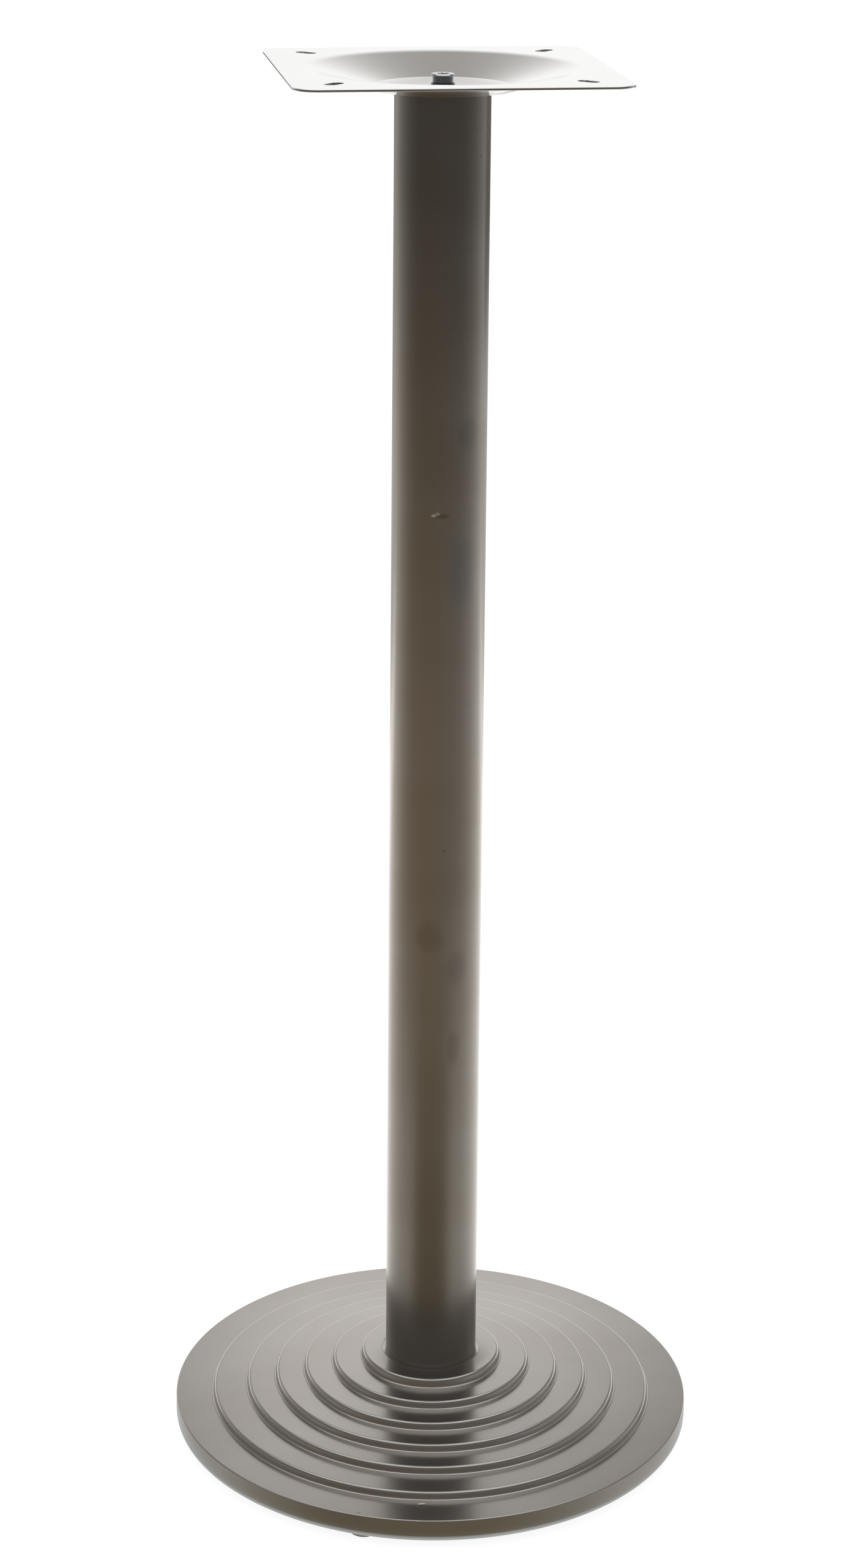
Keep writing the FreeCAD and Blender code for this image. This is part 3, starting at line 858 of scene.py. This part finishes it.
def compass(tree, vector):
    """How far a direction or place lies to the back and to the right, from 0 to 1, and how far out."""
    level = level_part(tree, vector)
    unit = vector_maths(tree, "NORMALIZE", level)
    shares = []
    for turn in (STUDIO_TURN, STUDIO_TURN + math.pi / 2):
        toward = (math.sin(turn), math.cos(turn), 0.0)
        shares.append(maths(tree, "MULTIPLY_ADD", along(tree, unit, toward), 0.5, 0.5))
    back, right = shares
    return back, right, length_of(tree, level)


def glow(tree, colour):
    """A shader that gives off a colour."""
    light = tree.nodes.new("ShaderNodeEmission")
    feed(tree, light.inputs["Color"], colour)
    return light.outputs["Emission"]


def room_colour(tree):
    """The room by direction: white behind the object, dark in front, and a pale ceiling."""
    direction = tree.nodes.new("ShaderNodeTexCoord").outputs["Generated"]
    up = height_of(tree, direction)
    behind = maths(tree, "POWER", compass(tree, direction)[0], WALL_POWER)
    room = tint(tree, ease(tree, up, *ROOM_RISE), ROOM_LOW, ROOM_HIGH)
    room = tint(tree, ease(tree, up, *HORIZON_RISE), HORIZON, room)
    wall = tint(tree, behind, room, BACKDROP)
    header = tint(tree, behind, room, HEADER)
    wall = tint(tree, ease(tree, up, *HEADER_RISE), wall, header)
    return tint(tree, ease(tree, up, *CEILING_RISE), wall, CEILING)


def make_world():
    """The room that the metal reflects, and plain white for the camera."""
    world = bpy.data.worlds.new("studio")
    bpy.context.scene.world = world
    world.use_nodes = True
    tree = world.node_tree
    tree.nodes.clear()
    path = tree.nodes.new("ShaderNodeLightPath")
    light = tree.nodes.new("ShaderNodeBackground")
    output = tree.nodes.new("ShaderNodeOutputWorld")
    feed(tree, light.inputs["Color"], tint(tree, path.outputs["Is Camera Ray"], room_colour(tree), WHITE))
    tree.links.new(light.outputs["Background"], output.inputs["Surface"])


def staged_sheet(name, corners, material):
    """A flat sheet of the studio, which isn't part of the object."""
    mesh = bpy.data.meshes.new(name)
    mesh.from_pydata(corners, [], [(0, 1, 2, 3)])
    sheet = new_piece(name, mesh)
    dress(sheet, material)
    return sheet


def board_colour(tree, right):
    """The board's colours: its foot, its belt, the patch straight behind the object, and its head."""
    place = object_place(tree)
    across = along(tree, place, right)
    height = height_of(tree, place)
    patch = tint(tree, ease(tree, maths(tree, "ABSOLUTE", across), *BOARD_FADE), BOARD_MIDDLE, BOARD_SIDE)
    colour = tint(tree, ease(tree, height, *BOARD_FOOT), BOARD_LOWER, BOARD_BELT)
    colour = tint(tree, ease(tree, height, *BOARD_RISE), colour, patch)
    leaning = maths(tree, "MULTIPLY_ADD", across, BOARD_LEAN, height)
    return tint(tree, ease(tree, leaning, *BOARD_HEAD), colour, BOARD_UPPER)


def make_board():
    """An upright board behind the object that only the metal sees."""
    right = Vector((math.cos(CAMERA_YAW), -math.sin(CAMERA_YAW), 0.0))
    back = Vector((math.sin(CAMERA_YAW), math.cos(CAMERA_YAW), 0.0))
    material, tree, output = bare_material("white_board")
    tree.links.new(glow(tree, board_colour(tree, right)), output.inputs["Surface"])
    foot = BOARD_BACK * back
    rise = Vector((0.0, 0.0, BOARD_TOP))
    left_foot = foot - BOARD_HALF * right
    right_foot = foot + BOARD_HALF * right
    corners = [left_foot, right_foot, right_foot + rise, left_foot + rise]
    board = staged_sheet("studio_board", corners, material)
    board.visible_camera = False
    board.visible_diffuse = False
    board.visible_transmission = False
    board.visible_shadow = False


def mirrored_floor(tree):
    """The floor's colours in the metal: glare under the foot, white to the back, dark to the front, and a
    painted contact shadow just in front of the object.
    """
    back, right, distance = compass(tree, object_place(tree))
    far = ease(tree, distance, *FLOOR_FAR_FADE)
    # Near the object: a painted contact shadow in front, paler beside
    near_shadow_and_beside = tint(tree, ease(tree, back, *FLOOR_BESIDE_TURN), FLOOR_FRONT_SHADOW, FLOOR_BESIDE)
    front = tint(tree, ease(tree, right, *FLOOR_RIGHT_TURN), FLOOR_LEFT, FLOOR_RIGHT)
    front = tint(tree, ease(tree, distance, *FLOOR_NEAR_SHADOW_FADE), near_shadow_and_beside, front)
    front = tint(tree, far, front, FLOOR_FAR)
    sweep = tint(tree, far, SWEEP_NEAR, SWEEP_FAR)
    ground = tint(tree, maths(tree, "POWER", back, SWEEP_POWER), front, sweep)
    return tint(tree, ease(tree, distance, *GLARE_FADE), ground, GLARE)


def make_floor():
    """A large white floor that keeps a soft shadow and has its own colours in the metal."""
    material, tree, output = bare_material("white_floor")
    paper = tree.nodes.new("ShaderNodeBsdfDiffuse")
    paper.inputs["Color"].default_value = PAPER
    white = tree.nodes.new("ShaderNodeAddShader")
    tree.links.new(paper.outputs["BSDF"], white.inputs[0])
    tree.links.new(glow(tree, PAPER_GLOW), white.inputs[1])
    path = tree.nodes.new("ShaderNodeLightPath")
    pick = tree.nodes.new("ShaderNodeMixShader")
    tree.links.new(path.outputs["Is Glossy Ray"], pick.inputs[0])
    tree.links.new(white.outputs["Shader"], pick.inputs[1])
    tree.links.new(glow(tree, mirrored_floor(tree)), pick.inputs[2])
    tree.links.new(pick.outputs["Shader"], output.inputs["Surface"])
    signs = ((-1, -1), (1, -1), (1, 1), (-1, 1))
    corners = [(x * FLOOR_REACH, y * FLOOR_REACH, 0.0) for x, y in signs]
    staged_sheet("studio_floor", corners, material)


def make_camera():
    """The photograph's viewpoint."""
    ahead = Vector((
        math.sin(CAMERA_YAW) * math.cos(CAMERA_PITCH),
        math.cos(CAMERA_YAW) * math.cos(CAMERA_PITCH),
        -math.sin(CAMERA_PITCH),
    ))
    level = Vector((math.cos(CAMERA_YAW), -math.sin(CAMERA_YAW), 0.0))
    down = ahead.cross(level)
    right = math.cos(CAMERA_ROLL) * level + math.sin(CAMERA_ROLL) * down
    up = math.sin(CAMERA_ROLL) * level - math.cos(CAMERA_ROLL) * down
    camera = bpy.data.objects.new("camera", bpy.data.cameras.new("camera"))
    bpy.context.scene.collection.objects.link(camera)
    turn = Matrix((right, up, -ahead)).transposed().to_4x4()
    camera.matrix_world = Matrix.Translation(CAMERA_PLACE) @ turn
    camera.data.lens = CAMERA_LENS
    camera.data.shift_y = CAMERA_SHIFT
    bpy.context.scene.camera = camera


make_camera()
make_world()
make_board()
make_floor()

# Brushed stainless steel of the foot
base_satin = brushed_metal(
    "satin_base",
    dark=(180, 175, 169),
    pale=(190, 186, 181),
    cloud=(5.0, 9.0, 9.0),
    grain=(40.0, 1200.0, 1200.0),
    rough=(0.228, 0.248),
    marks=BASE_MARKS_AND_GLINT,
)

# The column's, a little darker, with its grain round the tube
tube_satin = brushed_metal(
    "satin_tube",
    dark=(156, 149, 140),
    pale=(164, 159, 152),
    cloud=(6.0, 6.0, 14.0),
    grain=(30.0, 30.0, 500.0),
    rough=(0.236, 0.248),
    marks=COLUMN_MARKS,
)

# The plate's, bright and smoother
plate_satin = brushed_metal(
    "satin_plate",
    dark=(239, 238, 236),
    pale=(245, 244, 242),
    cloud=(8.0, 8.0, 8.0),
    grain=(30.0, 1200.0, 1200.0),
    rough=(0.10, 0.13),
    # painted shade under the plate, round the column
    shaded_underside=True,
)

# Black finish of the top screw
screw_black = blackened_screw("screw_finish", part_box("top_screw")[1].z - SCREW_FLANGE_HEIGHT)

# Dark spring steel under the head of the top screw
washer_steel = brushed_metal(
    "washer_finish",
    dark=(118, 120, 122),
    pale=(136, 138, 140),
    cloud=(200.0, 200.0, 200.0),
    grain=(600.0, 600.0, 600.0),
    rough=(0.18, 0.3),
    depth=0.004 * MM,
)

# Cups of the glides
glide_satin = brushed_metal(
    "glide_finish",
    dark=(134, 124, 106),
    pale=(150, 140, 124),
    cloud=(60.0, 60.0, 60.0),
    grain=(300.0, 300.0, 1500.0),
    rough=(0.26, 0.36),
    depth=0.003 * MM,
)

# Zinc of the bolt and its washers
zinc = brushed_metal(
    "zinc_plating",
    dark=(170, 172, 172),
    pale=(186, 187, 184),
    cloud=(90.0, 90.0, 90.0),
    grain=(500.0, 500.0, 500.0),
    rough=(0.28, 0.42),
    depth=0.006 * MM,
)

# Turned faces of the discs in the tube
turned_steel = brushed_metal(
    "turned_steel",
    dark=(140, 138, 135),
    pale=(156, 154, 151),
    cloud=(60.0, 60.0, 60.0),
    grain=(400.0, 400.0, 900.0),
    rough=(0.3, 0.42),
    depth=0.006 * MM,
)

# Matt black rubber with a slight blue cast
black_rubber = matt_surface(
    "glide_rubber",
    dark=(28, 34, 42),
    pale=(44, 52, 62),
    grain=(900.0, 900.0, 900.0),
    rough=(0.5, 0.7),
    depth=0.02 * MM,
)

# Black paint over the rough skin of the casting
casting_paint = matt_surface(
    "casting_paint",
    dark=(30, 30, 31),
    pale=(52, 52, 54),
    grain=(420.0, 420.0, 420.0),
    rough=(0.45, 0.7),
    depth=0.25 * MM,
    detail=CASTING_DETAIL,
)

dress(make_base_cover(), base_satin)
dress(make_column(), tube_satin)
dress(make_top_plate(), plate_satin)
dress(make_top_screw(), screw_black)
for glide in range(1, GLIDES + 1):
    cup, disc = make_glide(glide)
    dress(cup, glide_satin)
    dress(disc, black_rubber)

for node, finish in (
    ("ballast_casting", casting_paint),
    ("base_bolt", zinc),
    ("base_spring_washer", zinc),
    ("base_washer", zinc),
    ("column_lower_disc", turned_steel),
    ("column_upper_disc", turned_steel),
    ("top_spring_washer", washer_steel),
):
    dress(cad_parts[node], finish)

bpy.context.scene.view_settings.view_transform = "Standard"
